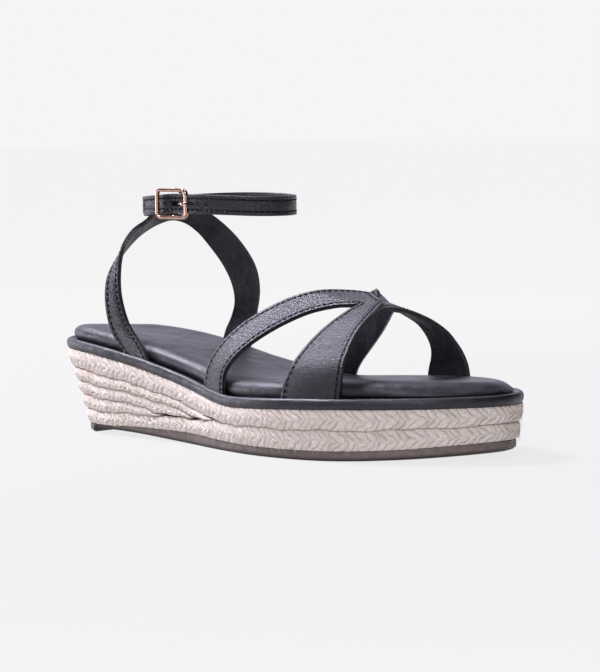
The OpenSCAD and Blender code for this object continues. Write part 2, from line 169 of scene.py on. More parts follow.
class Finish:
    """A material being built, with one Principled shader."""

    def __init__(self, name, **uniform):
        self.material = bpy.data.materials.new(name)
        self.material.use_nodes = True
        self.nodes = self.material.node_tree.nodes
        self.links = self.material.node_tree.links
        self.shader = self.nodes["Principled BSDF"]
        for key, value in uniform.items():
            self.shader.inputs[key.replace("_", " ")].default_value = value

    def plug(self, socket, value):
        if isinstance(value, Wire):
            self.links.new(value.socket, socket)
        elif value is not None:
            socket.default_value = value

    def add(self, kind, settings=None, inputs=None, out=0, stops=None):
        node = self.nodes.new(kind)
        for key, value in (settings or {}).items():
            setattr(node, key, value)
        if stops:
            ramp = node.color_ramp
            while len(ramp.elements) < len(stops):
                ramp.elements.new(0.5)
            for element, (place, colour) in zip(ramp.elements, stops):
                element.position, element.color = place, colour
        for key, value in (inputs or {}).items():
            self.plug(node.inputs[key], value)
        return Wire(self, node.outputs[out])

    def place(self):
        """Object coordinates, in millimetres."""
        where = self.add("ShaderNodeTexCoord", out="Object")
        return self.add("ShaderNodeVectorMath", {"operation": "SCALE"}, {0: where, "Scale": 1000.0})

    def fact(self, name, out="Fac"):
        return self.add("ShaderNodeAttribute", {"attribute_name": name}, out=out)

    def split(self, vector):
        return [self.add("ShaderNodeSeparateXYZ", None, {0: vector}, out=k) for k in range(3)]

    def join(self, x, y, z):
        return self.add("ShaderNodeCombineXYZ", None, {0: x, 1: y, 2: z})

    def noise(self, vector, scale, detail=3.0, rough=0.5):
        return self.add("ShaderNodeTexNoise", None,
                        {"Vector": vector, "Scale": scale, "Detail": detail, "Roughness": rough})

    def cells(self, vector, scale, feature="DISTANCE_TO_EDGE"):
        return self.add("ShaderNodeTexVoronoi", {"feature": feature},
                        {"Vector": vector, "Scale": scale}, out="Distance")

    def ramp(self, value, *stops):
        return self.add("ShaderNodeValToRGB", None, {0: value}, stops=stops)

    def between(self, value, low, high, to_low=0.0, to_high=1.0):
        return self.add("ShaderNodeMapRange", {"interpolation_type": "SMOOTHSTEP"},
                        {0: value, 1: low, 2: high, 3: to_low, 4: to_high})

    def blend(self, factor, a, b, mode="MIX"):
        node = self.nodes.new("ShaderNodeMix")
        node.data_type, node.blend_type = "RGBA", mode
        self.plug(node.inputs[0], factor)
        self.plug(node.inputs[6], a)
        self.plug(node.inputs[7], b)
        return Wire(self, node.outputs[2])

    def bump(self, height, distance, strength=1.0, under=None):
        return self.add("ShaderNodeBump", None, {"Height": height, "Distance": distance,
                                                 "Strength": strength, "Normal": under})

    def wear(self, *objects):
        for o in objects:
            o.data.materials.clear()
            o.data.materials.append(self.material)
        return self.material

    def set(self, **sockets):
        for key, value in sockets.items():
            self.plug(self.shader.inputs[key.replace("_", " ")], value)
        return self


def rgb(r, g, b):
    return (r, g, b, 1.0)


# %% [markdown]
# ## Camera, light and floor
# The shoe is seen from its outer side, a little ahead of the toe and only just above it,
# through a long lens, so the lines along the sole hardly converge.

# %% Camera
right = Vector((0.6853, 0.728, -0.0165))
up = Vector((-0.0415, 0.0617, 0.9972))
away = Vector((0.727, -0.6828, 0.0725))
camera = bpy.data.objects.new("camera", bpy.data.cameras.new("camera"))
bpy.context.scene.collection.objects.link(camera)
camera.matrix_world = Matrix.Translation(Vector((955.8, -881.55, 138.5)) * MM) @ Matrix(
    [(right[k], up[k], away[k], 0) for k in range(3)] + [(0, 0, 0, 1)])
camera.data.lens, camera.data.sensor_width = 167.8, 36
camera.data.clip_start, camera.data.clip_end = 0.05, 60
bpy.context.scene.camera = camera
print("camera turned about Z:", round(np.degrees(camera.matrix_world.to_euler().z), 1))

# %% [markdown]
# Black leather shows its form only by what it reflects, so the studio matters more than
# usual. A small bright softbox, the key, hangs high over the heel and puts a gleam on every
# curved strap. A second one stands low to the side for the upright straps. The surroundings
# are bright behind the heel so that the footbed's top shines, and dim elsewhere so that
# upright faces stay dark. A fill beside the camera lifts the jute. To the eye alone the
# surroundings are white, as a paper sweep would be. The floor gives most of its light by
# itself, so that only a faint shadow is left on it.

# %% Light and floor
bpy.context.scene.view_settings.view_transform = "Standard"
world = bpy.data.worlds.new("studio")
bpy.context.scene.world = world
world.use_nodes = True
sky, links = world.node_tree.nodes, world.node_tree.links
direction = sky.new("ShaderNodeTexCoord")
behind = sky.new("ShaderNodeVectorMath")
behind.operation = "DOT_PRODUCT"
behind.inputs[1].default_value = (-0.92, 0.38, 0.1)
fade = sky.new("ShaderNodeValToRGB")
dim, bright = fade.color_ramp.elements
dim.position, dim.color = 0.46, (0.022, 0.021, 0.03, 1)
bright.position, bright.color = 0.86, (0.98, 0.96, 1.15, 1)
seen = sky.new("ShaderNodeLightPath")
pick = sky.new("ShaderNodeMix")
pick.data_type = "RGBA"
pick.inputs[7].default_value = (0.913, 0.913, 0.913, 1)
links.new(direction.outputs["Generated"], behind.inputs[0])
links.new(behind.outputs["Value"], fade.inputs[0])
links.new(fade.outputs[0], pick.inputs[6])
links.new(seen.outputs["Is Camera Ray"], pick.inputs[0])
links.new(pick.outputs[2], sky["Background"].inputs[0])


def softbox(name, place, aim, size, power, colour=(1, 1, 1)):
    """A square area light at place, turned towards aim; metres and watts."""
    lamp = bpy.data.lights.new(name, "AREA")
    lamp.shape, lamp.size, lamp.energy, lamp.color = "SQUARE", size, power, colour
    o = bpy.data.objects.new(name, lamp)
    bpy.context.scene.collection.objects.link(o)
    o.location = place
    o.rotation_euler = (Vector(aim) - Vector(place)).to_track_quat("-Z", "Y").to_euler()


softbox("key", (-0.77, -0.27, 1.14), (0, 0, 0.04), 0.36, 32, (0.95, 0.93, 1))
softbox("side", (-1.4, -0.3, 0.1), (0, 0, 0.09), 0.3, 4.5, (0.95, 0.93, 1))
softbox("overhead", (0.1, 0.25, 1.2), (0, 0, 0), 0.8, 4, (0.97, 0.97, 1))
softbox("fill", (0.85, -1.3, 0.9), (0, 0, 0.03), 0.8, 15)

floor_mesh = bpy.data.meshes.new("floor")
floor_mesh.from_pydata([(-9, -9, 0), (9, -9, 0), (9, 9, 0), (-9, 9, 0)], [], [(0, 1, 2, 3)])
floor = bpy.data.objects.new("floor", floor_mesh)
bpy.context.scene.collection.objects.link(floor)
paper = Finish("paper", Roughness=0.9)
paper.shader.inputs["Specular IOR Level"].default_value = 0.0
paper.shader.inputs["Emission Strength"].default_value = 1.0
centre = paper.add("ShaderNodeVectorMath", {"operation": "LENGTH"}, {0: paper.place()}, "Value")
far = paper.between(centre, 130.0, 900.0)
paper.set(Base_Color=paper.ramp(far, (0.0, rgb(0.06, 0.054, 0.058)), (1.0, rgb(0.02, 0.02, 0.02))),
          Emission_Color=paper.ramp(far, (0.0, rgb(0.79, 0.79, 0.79)), (1.0, rgb(0.892, 0.892, 0.892))))
paper.wear(floor)

# %% [markdown]
# ## The sole's outline and side view
# All the sole's layers share one plan outline and differ in how far they stand in from it.
# The heel leans in as it goes down, so its lower layers stand in much further there.

# %% Outline and side lines
outline_points = [
    (-125.5, 2.5), (-119, -12.5), (-102.5, -24), (-79.5, -28), (-49.5, -30), (-19.5, -33),
    (5.5, -39.5), (30.5, -44.5), (55.5, -44.5), (80.5, -38.5), (102, -27), (118, -11),
    (125.5, 7), (120.5, 22.5), (107.5, 34.5), (85.5, 42.5), (60.5, 45), (35.5, 41.5),
    (5.5, 34), (-24.5, 31), (-54.5, 33.5), (-79.5, 33.5), (-102.5, 29), (-118.5, 18)]
outline_curve = smooth(outline_points, 40, closed=True)
seam = height_line([(-130, 39.8), (-112, 40.1), (-99, 40), (-75, 37.8), (-50, 34.3), (-25, 29.9),
                    (-5, 26.3), (8, 24.3), (20, 23.4), (40, 24), (75, 25.2), (105, 25.8), (130, 26.1)])
sole_top = height_line([(-130, 4), (-85, 4), (-55, 4.9), (-20, 4.9), (15, 4), (60, 4), (80, 4.4),
                        (100, 5.4), (112, 6.5), (130, 8.2)])
RAND = 4.6
heelward = lambda x: ease((-76.6 - x) / 53)


def outline(count):
    """Evenly spaced outline points, their outward normals and the outline's length."""
    p, length = evenly(outline_curve, count, closed=True)
    along = unit(np.roll(p, -1, 0) - np.roll(p, 1, 0))
    return p, np.stack([along[:, 1], -along[:, 0]], 1), length


def ring(p, n, inset, z):
    """Outline moved in by inset and lifted to z; both may vary round it."""
    inset = np.broadcast_to(inset, len(p))
    return np.column_stack([p - n * inset[:, None], np.broadcast_to(z, len(p))])


def spine(p):
    """For each outline point, a point of the line up the middle of the sole. Point i and its
    opposite, count - 1 - i, share one, at the mean of their x."""
    x = np.clip((p[:, 0] + p[::-1, 0]) / 2, -92, 78)
    return np.column_stack([x, np.interp(x, [-92, -20, 40, 78], [3, -0.5, -1, 5])])


print("sole outline length, mm:", round(outline(400)[2], 1))

# %% [markdown]
# ## Walking sole
# A moulded rubber sheet with a heel block. Its waist is lifted off the ground and so is the
# toe. It is a stack of rings: down the side wall, round the bottom edge, then shrinking
# towards the middle line on both faces.

# %% Walking sole
def stacked(name, rings, facts=None):
    """Closed shell through a list of rings. The first and last are narrow loops round the
    middle line; each is zipped up by quads between point i and its opposite, count - 1 - i."""
    grid = np.stack(rings, 0)
    ni, nj = grid.shape[:2]
    i = np.arange(nj // 2 - 1)
    zip_up = np.stack([i, i + 1, nj - 2 - i, nj - 1 - i], 1)
    faces = np.concatenate([grid_faces(ni, nj, False, True), zip_up, zip_up[:, ::-1] + (ni - 1) * nj])
    return make_object(name, grid.reshape(-1, 3), [tuple(f) for f in faces.tolist()],
                       {k: np.asarray(v).reshape(ni * nj) for k, v in (facts or {}).items()})


def shrink(p, edge, middle_z, k):
    """Ring between its edge (k = 1) and the middle line (k = 0)."""
    c = spine(p)
    flat = c + (edge[:, :2] - c) * k
    return np.column_stack([flat, edge[:, 2] * k + middle_z * (1 - k)])


def sole_foot(x):
    """Underside: heel block on the ground, a recess behind it, forefoot, raised toe."""
    waist = 2.3 * ease((x + 92.5) / 1.5) * (1 - ease((x + 75) / 68))
    return waist + 4.2 * np.clip((x - 60) / 70, 0, 1) ** 2


def lean(x, t):
    """How far the sides stand in: t is 0 under the rand and 1 at the bottom."""
    h = heelward(x)
    return (0.8 + 12.4 * t) * h + (0.8 + 2.3 * t) * (1 - h)


def make_walking_sole():
    p, n, _ = outline(1200)
    x = p[:, 0]
    side = lean(x, 1)
    rings = []
    top, foot = sole_top(x), sole_foot(x)
    for d, z in [(0.5, top), (0.1, top - 0.3), (0.0, top - 1.0), (0.05, foot + 1.3), (0.3, foot + 0.75),
                 (0.95, foot + 0.7), (1.0, foot + 0.25), (1.3, foot)]:
        rings.append(ring(p, n, side + d, z))
    lid = [shrink(p, rings[0], top, k) for k in (0.02, 0.5)]
    base = [shrink(p, rings[-1], foot, k) for k in (0.96, 0.85, 0.6, 0.3, 0.02)]
    for r in base:
        r[:, 2] = sole_foot(r[:, 0])
    for r in lid:
        r[:, 2] = sole_top(r[:, 0])
    rings = lid + rings + base
    above = np.stack([r[:, 2] - sole_foot(r[:, 0]) for r in rings])
    return stacked("walking_sole", rings, {"above": above})


walking_sole = make_walking_sole()
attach(walking_sole, "sandal")
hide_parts("outsole")

# %% [markdown]
# The rubber is a warm grey brown and a little mottled. Painted contact shade darkens it along its lower
# edge.

# %% Rubber
rubber = Finish("rubber", Roughness=0.62)
xyz = rubber.place()
mottle = rubber.noise(xyz, 0.35, 5.0, 0.6)
brown = rubber.ramp(mottle, (0.3, rgb(0.105, 0.078, 0.075)), (0.7, rgb(0.175, 0.135, 0.13)))
# painted contact shade: near black where the rubber is less than about 2 mm above its underside
brown = rubber.blend(rubber.between(rubber.fact("above"), 0.5, 2.2), rgb(0.022, 0.012, 0.015), brown)
rubber.set(Base_Color=brown, Normal=rubber.bump(rubber.noise(xyz, 2.2, 4.0), 0.00012, 0.5))
rubber.wear(walking_sole)

# %% [markdown]
# ## Jute braid
# Flat plaits of jute are sewn round the wedge: one under the rand and one above the rubber
# run right round, and three shorter ones fill the deep heel and tuck in at the waist.
# Thousands of loose strands would be heavy, so each plait is one surface: a rounded band
# whose height is pushed out by slanted strands. The strands of the upper and lower half
# meet on the middle line and cross a little past it in turn, which makes the chevrons.

# %% Plait surface
def plait(name, top_line, low_line, pitch, cut=None, seed=1):
    """Closed band round the sole between two side lines.
    a runs from -1 (low edge) to 1 (top edge). Strand number = (distance + slope) / pitch,
    where slope = half height * |a|, so strands lean back from the middle to the edges.
    Height = larger of the upper and lower family's round strand, times its own envelope."""
    count = 2200
    p, n, length = outline(count)
    strands = int(round(length / pitch))
    run = np.arange(count) / count * strands
    if cut is not None:
        inside = np.roll(p[:, 0] < cut, count // 2)
        keep = np.roll(np.arange(count), count // 2)[inside]
        p, n, run = p[keep], n[keep], run[keep] - strands * (keep > count // 2)
    x = p[:, 0]
    hi, lo = top_line(x), low_line(x)
    taper = np.ones(len(x))
    if cut is not None:
        taper = np.sqrt(np.clip((cut - x) / 9, 0.004, 1))
        mid = (hi + lo) / 2
        hi, lo = mid + (hi - mid) * taper, mid + (lo - mid) * taper
    a = np.linspace(-1, 1, 23)
    A = np.broadcast_to(a, (len(x), len(a)))
    H = (hi - lo)[:, None] / 2
    Z = lo[:, None] + (A + 1) * H
    rand_low, ground = (seam(x) - RAND)[:, None], sole_top(x)[:, None]
    T = np.clip((rand_low - Z) / (rand_low - ground), 0, 1)
    inset = lean(x[:, None], T)
    half = np.abs(A) * H
    wobble = 0.16 * np.sin(run * 2.1 + seed) + 0.12 * np.sin(run * 0.83) + 0.08 * np.sin(run * 5.3)
    wobble = wobble[:, None] + 0.10 * np.sin(A * 5 + run[:, None] * 1.7)
    phase = run[:, None] + wobble + half * 1.05 / pitch
    table = np.random.default_rng(seed).random((2, strands * 3))
    height, tone, across = [], [], []
    for family, sign in enumerate((1, -1)):
        f = phase + 0.5 * family
        k = np.floor(f).astype(int)
        q = (f - k) * 2 - 1
        dice = table[family][k % (strands * 3)]
        body = np.sqrt(np.clip(1 - (np.abs(q) * (1.02 + 0.1 * dice)) ** 2.2, 0, 1))
        reach = ease((A * sign + 0.26) / 0.34)
        height.append(body * reach * (0.8 + 0.3 * dice))
        tone.append(dice)
        across.append(q)
    upper = height[0] >= height[1]
    lump = np.where(upper, height[0], height[1])
    bulge = np.sqrt(np.clip(1 - A**2, 0, 1))
    out = (-0.75 + 1.5 * bulge ** 0.8) * taper[:, None] + (0.95 * lump - 0.55) * (0.35 + 0.65 * bulge)
    D = inset - out
    P = np.concatenate([p[:, None] - n[:, None] * D[..., None], Z[..., None]], -1)
    back = [np.column_stack([p - n * (inset[:, c] + 3.5)[:, None], Z[:, c] * 0.8 + Z[:, 11] * 0.2])
            for c in (-1, 0)]
    P = np.concatenate([P, back[0][:, None], back[1][:, None]], 1)
    pad = lambda v: np.concatenate([v, np.zeros((len(x), 2))], 1)
    yarn = np.stack([pad(np.where(upper, across[0], across[1])), pad(half * 1.4 + run[:, None] * 0.3),
                     pad(np.where(upper, tone[0], tone[1]))], -1)
    # crest: how high the strands stand here; the jute finish paints shade where it is low
    crest = pad(np.clip(lump * (0.4 + 0.6 * bulge), 0, 1))
    return tube(name, P, cut is None, {"yarn": yarn, "crest": crest})


loose = lambda line: lambda x: line(x) + 0.28 * np.sin(x * 0.19 + 1) + 0.2 * np.sin(x * 0.47)
under_rand = lambda x: seam(x) - RAND + 0.3
base_top = height_line([(-130, 9.5), (-65, 10), (-40, 10.5), (-17, 11.1), (3, 11.7), (30, 11.7),
                        (60, 12), (80, 12.5), (100, 13.2), (130, 14.8)])
top_low = height_line([(-130, 27.5), (-100, 27.3), (-75, 25), (-50, 22), (-25, 17.8), (-8, 14.4),
                       (6, 12.1), (15, 11.6), (30, 11.7), (60, 12), (80, 12.5), (100, 13.2), (130, 14.8)])
heel_low_1 = height_line([(-130, 21.5), (-100, 21.8), (-75, 20.2), (-50, 17.9), (-25, 14.2),
                          (-8, 11.8), (20, 11.2)])
heel_low_2 = height_line([(-130, 15.5), (-100, 16), (-75, 15.2), (-50, 13.4), (-35, 11.4), (20, 10.6)])
plaits = [
    plait("plait_top", under_rand, loose(top_low), 3.5, seed=2),
    plait("plait_base", loose(base_top), lambda x: sole_top(x) - 0.2, 3.5, seed=3),
    plait("plait_heel_1", loose(top_low), loose(heel_low_1), 3.1, cut=3, seed=4),
    plait("plait_heel_2", loose(heel_low_1), loose(heel_low_2), 3.1, cut=-16, seed=5),
    plait("plait_heel_3", loose(heel_low_2), loose(base_top), 3.1, cut=-38, seed=6)]
for o, node in zip(plaits, ["jute_row_top", "jute_row_base", "jute_heel_row_1", "jute_heel_row_2",
                            "jute_heel_row_3"]):
    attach(o, "sandal")
    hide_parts(node)

# %% [markdown]
# Jute is pale, dry and never even: fine fibres run along each strand, some strands are
# browner, and short dark flecks of husk are left in it. It has no gloss at all. Shade in the
# grooves between strands is painted into its colour.

# %% Jute finish
raw_jute = Finish("raw_jute", Roughness=0.92)
raw_jute.shader.inputs["Specular IOR Level"].default_value = 0.15
across, along, tone = raw_jute.split(raw_jute.fact("yarn", "Vector"))
xyz = raw_jute.place()
fibres = raw_jute.noise(raw_jute.join(across * 5.0, along * 0.8, tone * 40.0), 1.1, 4.0, 0.65)
fuzz = raw_jute.noise(xyz, 1.6, 6.0, 0.75)
pale = raw_jute.ramp(fibres * 0.55 + fuzz * 0.45, (0.30, rgb(0.42, 0.30, 0.24)),
                     (0.43, rgb(0.76, 0.65, 0.60)), (0.60, rgb(0.98, 0.905, 0.905)))
pale = raw_jute.blend(raw_jute.between(tone, 0.86, 0.97, 0.0, 0.28), pale, rgb(0.62, 0.46, 0.33))
fleck = raw_jute.between(raw_jute.noise(xyz, 0.55, 5.0, 0.8), 0.62, 0.72)
pale = raw_jute.blend(fleck * 0.7, pale, rgb(0.42, 0.27, 0.17))
crest = raw_jute.fact("crest")
# painted shade: darker where the strands stand low, in the grooves between strands and at the band's edges
pale = raw_jute.blend(raw_jute.between(crest, 0.0, 0.3, 0.45, 0.0), pale, rgb(0.42, 0.30, 0.25))
raw_jute.set(Base_Color=pale, Normal=raw_jute.bump(fibres + fuzz, 0.0007, 0.8))
raw_jute.wear(*plaits)

# %% [markdown]
# Stray fibres lie over the plaits, and a few hang down over the rubber. Each is a thin
# three-sided tube along a bent line, so even 1500 of them cost little.

# %% Stray fibres
def hairs(name, count, band, seed):
    """count bent fibres: start on the plait, then drift along it and droop."""
    dice = np.random.default_rng(seed)
    p, n, _ = outline(3000)
    k = dice.integers(0, len(p), count)
    x = p[k, 0]
    z0 = band(x, dice.random(count))
    t = np.linspace(0, 1, 6)[None, :, None]
    T = np.clip((seam(x) - RAND - z0) / (seam(x) - RAND - sole_top(x)), 0, 1)
    start = np.column_stack([p[k] - n[k] * (lean(x, T) - 0.5)[:, None], z0])
    tangent = np.column_stack([-n[k, 1], n[k, 0], np.zeros(count)])
    outward = np.column_stack([n[k], np.zeros(count)])
    length = dice.uniform(1.5, 5, count)[:, None, None]
    drift = dice.uniform(-0.9, 0.9, count)[:, None, None]
    drop = dice.uniform(-0.3, 0.75, count)[:, None, None]
    path = (start[:, None] + tangent[:, None] * drift * length * t
            + outward[:, None] * (0.8 * np.sin(t * 3.0) * dice.random(count)[:, None, None] + 0.3)
            - np.array([0, 0, 1.0]) * drop * length * t**1.5)
    path[..., 2] = np.maximum(path[..., 2], 0.3)
    angle = np.array([0, 2.094, 4.189])
    section = 0.065 * (1 - 0.6 * t[..., None]) * (
        outward[:, None, None] * np.cos(angle)[None, None, :, None]
        + np.array([0, 0, 1.0]) * np.sin(angle)[None, None, :, None])
    P = path[:, :, None] + section
    verts = P.reshape(-1, 3)
    rows, sides = 6, 3
    first = np.arange(count) * rows * sides
    sheet = grid_faces(rows, sides, False, True)[None] + first[:, None, None]
    faces = [tuple(f) for f in sheet.reshape(-1, 4).tolist()]
    for c in first.tolist():
        faces += [(c, c + 1, c + 2), (c + 17, c + 16, c + 15)]
    return make_object(name, verts, faces)


def fibre_height(x, r):
    """From just above the rubber (r = 0) to the rand (r = 1), more of them low down."""
    return sole_top(x) + 0.4 + r**1.6 * (seam(x) - RAND - sole_top(x))


strays = hairs("stray_fibres", 1500, fibre_height, 11)
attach(strays, "sandal")
stray_jute = Finish("stray_jute", Base_Color=rgb(0.90, 0.84, 0.81), Roughness=0.8)
stray_jute.wear(strays)

# %% [markdown]
# ## Rand and footbed
# The rand is a leather-covered roll round the edge of the platform: a closed section
# carried round the outline. The footbed is a padded cushion that swells over it. Its edge
# is a soft roll, and its top is dished under the heel and the ball of the foot.

# %% Rand
def make_rand():
    p, n, _ = outline(900)
    z = seam(p[:, 0])
    section = [(5.0, -0.9), (3.4, -0.75), (2.6, -0.35), (1.9, -0.1), (1.2, -0.12), (0.6, -0.5),
               (0.2, -1.1), (0.0, -1.9), (0.0, -2.7), (0.15, -3.4), (0.55, -4.1), (1.3, -4.65), (2.6, -4.8),
               (5.0, -4.6)]
    d, h = evenly(smooth(section, 6), 40)[0].T
    x, y = p.T
    ripple = 0.07 * np.sin(x * 0.23 + y * 0.11) + 0.03 * np.sin(x * 0.61 - y * 0.4)
    rows = [ring(p, n, inset + ripple * (inset < 2), z + up) for inset, up in zip(d, h)]
    grid = np.stack(rows, 1)
    return tube("rand_roll", grid, True)


rand_roll = make_rand()
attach(rand_roll, "sandal")
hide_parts("rand_wrap")

# %% Footbed
def tilt(y):
    """The cushion stands a little higher on the outer side than on the inner side."""
    return 0.6 - 2.6 * ease((y + 34) / 68)


def make_footbed():
    p, n, _ = outline(720)
    x = p[:, 0]
    z = seam(x)
    section = [(5.2, -0.8), (4.4, -0.4), (3.75, 0.5), (3.4, 1.6), (3.5, 2.7), (4.1, 3.8), (5.3, 4.75),
               (7.1, 5.4), (9.4, 5.65), (12.0, 5.6)]
    d, h = evenly(smooth(section, 6), 34)[0].T
    toe = ease((x - 88) / 30)
    rings = []
    for k in range(len(d)):
        swell = np.clip((h[k] - 0.3) / 5.3, 0, 1)
        slope = 2.7 * np.interp(h[k], [0.3, 1.6, 2.7, 3.8, 4.75, 5.4, 5.65],
                                [0, 0.45, 0.8, 0.95, 1, 0.85, 0.6])
        r = ring(p, n, d[k] + slope * toe, z + h[k])
        r[:, 2] += tilt(r[:, 1]) * swell
        rings.append(r)
    rim = rings[-1]
    for k in np.linspace(0.94, 0.02, 22):
        c = spine(p)
        flat = c + (rim[:, :2] - c) * k
        gx, gy = flat.T
        inner = (1 - k**2) ** 2
        heel = 0.9 * np.exp(-(((gx + 88) / 26) ** 2)) * inner
        ball = 0.5 * np.exp(-(((gx - 50) / 34) ** 2)) * inner
        level = seam(gx) + 5.6 + tilt(gy)
        rings.append(np.column_stack([flat, rim[:, 2] * k**2 + level * (1 - k**2) - heel - ball]))
    under = [shrink(p, rings[0], z, k) for k in (0.02, 0.5)]
    for r in under:
        r[:, 2] = seam(r[:, 0]) - 0.8
    return stacked("footbed", under + rings)


footbed = make_footbed()
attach(footbed, "sandal")
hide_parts("footbed_cover", "footbed_foam")

# %% [markdown]
# Smooth leather has a tight pebble grain. Pulled over foam it also has slow hollows and a
# few fine creases. The grain is a cell pattern half a millimetre across, the hollows are
# slow noise, and both only move the normal.

# %% Smooth leather
def sheen(f):
    """Waxed leather: a strong reflection with a violet cast."""
    f.shader.inputs["Specular IOR Level"].default_value = 0.65
    f.shader.inputs["Specular Tint"].default_value = rgb(0.86, 0.84, 1.0)


def smooth_leather(name, colour, roughness, creases, grain=0.5):
    f = Finish(name)
    sheen(f)
    xyz = f.place()
    pebble = f.cells(f.add("ShaderNodeVectorMath", {"operation": "ADD"},
                           {0: xyz, 1: f.noise(xyz, 0.8)}), 1.0 / 0.55)
    slow = f.noise(xyz, 0.055, 3.0, 0.55)
    crease = f.noise(xyz, 0.22, 5.0, 0.62)
    tint = f.noise(xyz, 0.12, 4.0, 0.6)
    f.set(Base_Color=f.ramp(tint, (0.3, colour), (0.75, tuple(1.5 * c for c in colour[:3]) + (1,))),
          Roughness=f.between(tint, 0.25, 0.8, roughness - 0.05, roughness + 0.07),
          Normal=f.bump(f.between(pebble, 0.0, 0.22), 0.00006, grain,
                        f.bump(crease, 0.0010, creases, f.bump(slow, 0.006, creases))))
    return f


rand_leather = smooth_leather("rand_leather", rgb(0.003, 0.003, 0.005), 0.42, 0.2)
rand_leather.wear(rand_roll)
bed_leather = smooth_leather("footbed_leather", rgb(0.003, 0.003, 0.005), 0.43, 0.22)
bed_leather.wear(footbed)

# %% [markdown]
# ## Straps
# Every strap is two thin plies, outer leather and lining, laid on one middle surface. That
# surface is spanned between edge curves. The two toe straps each have two arms that join in
# a plate, so their grids have four edge curves and the cells between the arms are left out
# until the arms meet. A ply is the grid moved out and in along its normals, with walls round
# its rim. The outer ply swells a little away from its stitched rim.

# %% Ply helper
def blocks_normal(blocks):
    """Normals of each block of columns by central differences inside the block."""
    out = []
    for g in blocks:
        di = np.gradient(g, axis=0)
        dj = np.gradient(g, axis=1)
        out.append(unit(np.cross(di, dj)))
    return np.concatenate(out, 1)


def rim_distance(grid, keep):
    """Distance from each grid point to the nearest point of the sheet's outline."""
    ni, nj = grid.shape[:2]
    border = []
    full = np.pad(keep, 1)
    for di, dj, ends in [(-1, 0, [(0, 0), (0, 1)]), (1, 0, [(1, 0), (1, 1)]), (0, -1, [(0, 0), (1, 0)]),
                         (0, 1, [(0, 1), (1, 1)])]:
        edge = keep & ~full[1 + di : ni + di, 1 + dj : nj + dj]
        i, j = np.nonzero(edge)
        a = grid[i + ends[0][0], j + ends[0][1]]
        b = grid[i + ends[1][0], j + ends[1][1]]
        border += [a + (b - a) * t for t in (0, 0.25, 0.5, 0.75)]
    border = np.concatenate(border)
    flat = grid.reshape(-1, 3)
    d = np.array([np.sqrt(((border - q) ** 2).sum(1).min()) for q in flat])
    return d.reshape(ni, nj)


def ply(name, grid, normal, low, high, keep, facts, bevel=0.3):
    """Closed sheet from low to high along the normals, where keep[i, j] cells exist."""
    ni, nj = grid.shape[:2]
    lo, hi = grid + normal * np.asarray(low)[..., None], grid + normal * np.asarray(high)[..., None]
    idx = lambda i, j: i * nj + j
    n = ni * nj
    i, j = np.nonzero(keep)
    top = np.stack([idx(i, j) + n, idx(i + 1, j) + n, idx(i + 1, j + 1) + n, idx(i, j + 1) + n], 1)
    base = np.stack([idx(i, j), idx(i, j + 1), idx(i + 1, j + 1), idx(i + 1, j)], 1)
    faces = [top, base]
    full = np.pad(keep, 1)
    walls = [(-1, 0, (0, 1), (0, 0)), (1, 0, (1, 0), (1, 1)),
             (0, -1, (0, 0), (1, 0)), (0, 1, (1, 1), (0, 1))]
    for di, dj, a, b in walls:
        i, j = np.nonzero(keep & ~full[1 + di : ni + di, 1 + dj : nj + dj])
        pa, pb = idx(i + a[0], j + a[1]), idx(i + b[0], j + b[1])
        faces.append(np.stack([pa, pb, pb + n, pa + n], 1))
    faces = np.concatenate(faces)
    used, inverse = np.unique(faces, return_inverse=True)
    verts = np.concatenate([lo.reshape(-1, 3), hi.reshape(-1, 3)])[used]
    two = {k: np.concatenate([v.reshape(n, -1)] * 2)[used].squeeze() for k, v in facts.items()}
    obj = make_object(name, verts, [tuple(f) for f in inverse.reshape(-1, 4).tolist()], two)
    if bevel:
        m = obj.modifiers.new("rounded_rim", "BEVEL")
        m.width, m.segments, m.limit_method, m.angle_limit = bevel * MM, 3, "ANGLE", 0.9
    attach(obj, "sandal")
    return obj


def two_plies(name, blocks, keep, outside, leather, lining, thick=1.05, swell=0.30):
    """Leather and lining on one middle surface. outside is +1 where the normals point out.
    The leather is thick at its rim, and swell thicker inside the channel of the stitching."""
    grid = np.concatenate(blocks, 1)
    normal = blocks_normal(blocks) * outside
    rim = rim_distance(grid, keep)
    widths = np.linalg.norm(np.diff(grid, axis=1), axis=2)
    run = np.concatenate([[0], np.cumsum(np.linalg.norm(np.diff(grid.mean(1), axis=0), axis=1))])
    side = np.concatenate([np.zeros((len(grid), 1)), np.cumsum(widths, 1)], 1)
    facts = {"lay": np.stack([np.broadcast_to(run[:, None], rim.shape), side, rim], -1)}
    puff = swell * ease((rim - 1.7) / 1.8) + 0.14 * ease((1.9 - rim) / 1.0) - 0.14
    outer = ply(name + "_leather", grid, normal, 0.0 * rim, thick + puff, keep, facts)
    inner = ply(name + "_lining", grid, normal, -0.8 + 0 * rim, -0.02 + 0 * rim, keep, facts, 0.2)
    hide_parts(leather)
    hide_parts(lining)
    return outer, inner, grid, normal, thick + puff


# %% [markdown]
# The outer toe strap: a narrow rear arm and a broad front arm rise from the outer edge of
# the sole and join over the instep. Each edge curve goes from below the rand, where the
# strap is sewn in, to the plate's end.

# %% Outer toe strap
STEPS = 9
SKIP = 2
ARM_COLUMNS = (12, 20)


